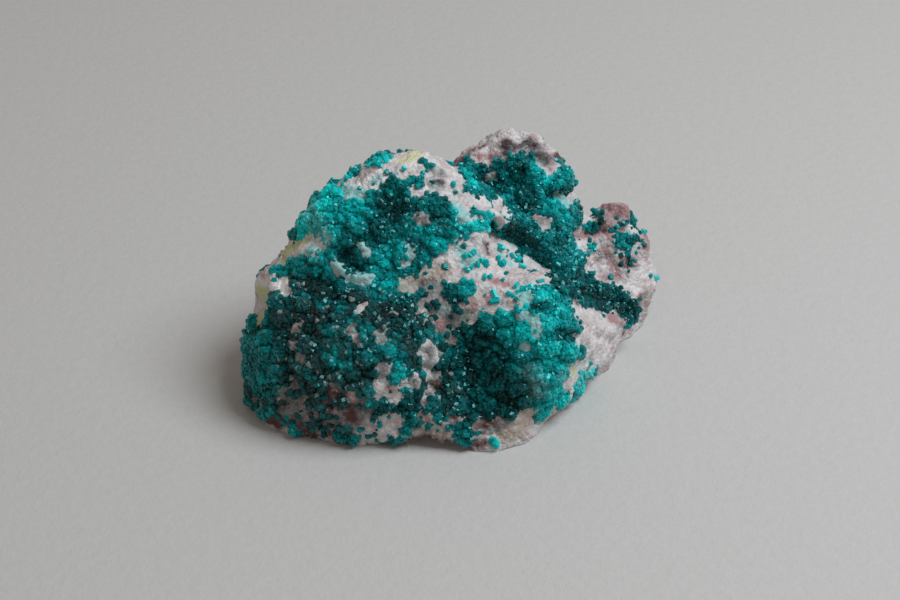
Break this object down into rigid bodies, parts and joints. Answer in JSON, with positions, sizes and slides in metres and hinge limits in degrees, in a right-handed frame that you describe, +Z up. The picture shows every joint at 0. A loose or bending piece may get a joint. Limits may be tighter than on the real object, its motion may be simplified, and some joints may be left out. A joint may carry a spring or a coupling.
{
  "type": "dioptase specimen",
  "caption": "Lump of pale calcite rock, domed at the left and ridged at the right, with crusts of small green dioptase crystals; stands on a flat underside.",
  "frame": {"origin": "middle of the bounding box in X and Y, at the flat underside in Z", "axes": "+X along the specimen's long side, towards the low right block; -Y towards the front that carries most of the crystals; +Z up from the flat underside"},
  "size_m": [0.0736, 0.0516, 0.0426],
  "materials": {
    "rock": "matte",
    "dioptase": "gloss"
  },
  "bodies": {
    "root": {"matrix": "rock", "main_crust": "dioptase", "ridge_crust": "dioptase", "knob_crust": "dioptase", "block_patch": "dioptase", "shoulder_patch": "dioptase", "top_patch": "dioptase", "saddle_patch": "dioptase", "foot_patch": "dioptase", "back_patch": "dioptase"}
  },
  "joints": []
}
